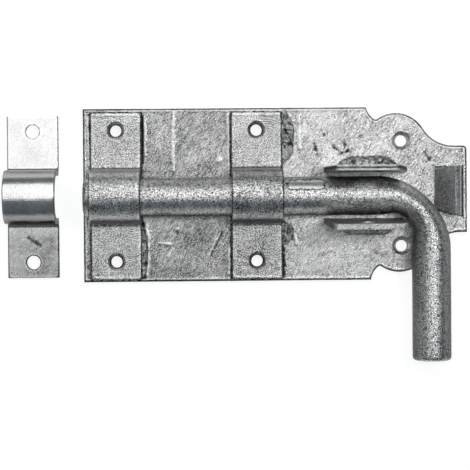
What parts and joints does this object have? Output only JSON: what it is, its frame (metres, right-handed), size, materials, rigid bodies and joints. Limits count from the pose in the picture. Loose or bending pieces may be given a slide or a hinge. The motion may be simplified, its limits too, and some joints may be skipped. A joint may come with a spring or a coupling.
{
  "type": "padbolt",
  "caption": "Round sliding bolt with a bent handle on a shaped backplate, held by hat-shaped straps, with padlock lugs, a lanced stop tongue and a separate keeper.",
  "frame": {"origin": "middle of the backplate's back face, which lies on z = 0", "axes": "+X along the bolt from its tip to its handle, +Y across the plate away from the hanging handle, +Z out of the face it is fixed to"},
  "size_m": [0.2394, 0.1314, 0.0401],
  "materials": {
    "galvanised_plate": "hot-dip galvanised, mottled satin",
    "galvanised_strap": "hot-dip galvanised, mottled satin",
    "galvanised_bolt": "hot-dip galvanised, speckled satin",
    "weld_metal": "galvanised weld bead, lumpy"
  },
  "bodies": {
    "base": {"backplate": "galvanised_plate", "front_strap": "galvanised_strap", "rear_strap": "galvanised_strap", "upper_lug": "galvanised_strap", "lower_lug": "galvanised_strap", "upper_lug_weld": "weld_metal", "lower_lug_weld": "weld_metal", "front_strap_weld": "weld_metal", "rear_strap_weld_upper": "weld_metal", "rear_strap_weld_lower": "weld_metal", "keeper": "galvanised_strap"},
    "sliding_bolt": {"bolt": "galvanised_bolt"}
  },
  "joints": [
    {"name": "bolt_turn", "type": "hinge", "parent": "base", "child": "sliding_bolt", "pos_m": [0, -0.0011, 0.0144], "axis": [-1, 0, 0], "range_deg": [0, 180]}
  ]
}
